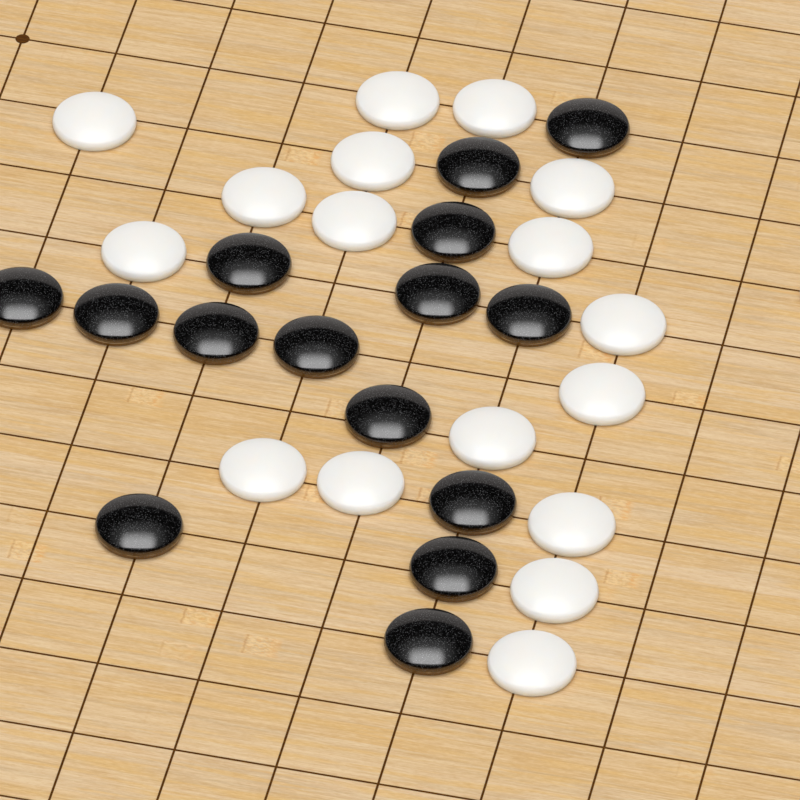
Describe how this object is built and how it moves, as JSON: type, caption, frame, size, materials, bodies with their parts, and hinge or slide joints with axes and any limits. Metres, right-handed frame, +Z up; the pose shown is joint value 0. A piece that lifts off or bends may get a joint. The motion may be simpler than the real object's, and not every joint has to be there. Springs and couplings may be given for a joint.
{
  "type": "go board with stone drawers",
  "caption": "Square bamboo go board on a shallow case with a stone drawer front and back, finger-jointed boxes, knobs, rubber feet, and black and white stones in play.",
  "frame": {"origin": "on the table, under the middle of the board", "axes": "+X right and along the grain and the rows, +Y away from the player at the front drawer, +Z up"},
  "size_m": [0.466, 0.486, 0.0548],
  "materials": {
    "board_bamboo": "side-pressed bamboo strips, satin clear coat",
    "case_bamboo": "side-pressed bamboo, satin clear coat",
    "drawer_bamboo": "sanded bamboo, thin clear coat",
    "panel_bamboo": "thin laminated bamboo panel",
    "knob_bamboo": "turned bamboo, satin clear coat",
    "ink": "thin dark brown printed ink",
    "white_stone": "milky opaque glass, polished",
    "black_stone": "dense black stone with fine sparkling specks, satin polish",
    "foot_rubber": "matt black rubber",
    "screw_steel": "bright zinc"
  },
  "bodies": {
    "case": {"back_runners": "case_bamboo", "back_stop_rail": "case_bamboo", "base_panel": "panel_bamboo", "base_screws": "screw_steel", "black_stones": "black_stone", "centre_divider": "case_bamboo", "feet": "foot_rubber", "front_runners": "case_bamboo", "front_stop_rail": "case_bamboo", "grid_lines": "ink", "left_side": "case_bamboo", "playing_board": "board_bamboo", "right_side": "case_bamboo", "white_stones": "white_stone"},
    "front_drawer": {"front_box_back": "drawer_bamboo", "front_box_bottom": "panel_bamboo", "front_box_front": "drawer_bamboo", "front_box_left": "drawer_bamboo", "front_box_right": "drawer_bamboo", "front_drawer_face": "case_bamboo", "front_knob": "knob_bamboo"},
    "back_drawer": {"back_box_back": "drawer_bamboo", "back_box_bottom": "panel_bamboo", "back_box_front": "drawer_bamboo", "back_box_left": "drawer_bamboo", "back_box_right": "drawer_bamboo", "back_drawer_face": "case_bamboo", "back_knob": "knob_bamboo"}
  },
  "joints": [
    {"name": "front_drawer_slide", "type": "slide", "parent": "case", "child": "front_drawer", "axis": [0, -1, 0], "range_m": [0, 0.1944]},
    {"name": "back_drawer_slide", "type": "slide", "parent": "case", "child": "back_drawer", "axis": [0, 1, 0], "range_m": [0, 0.1944]}
  ]
}
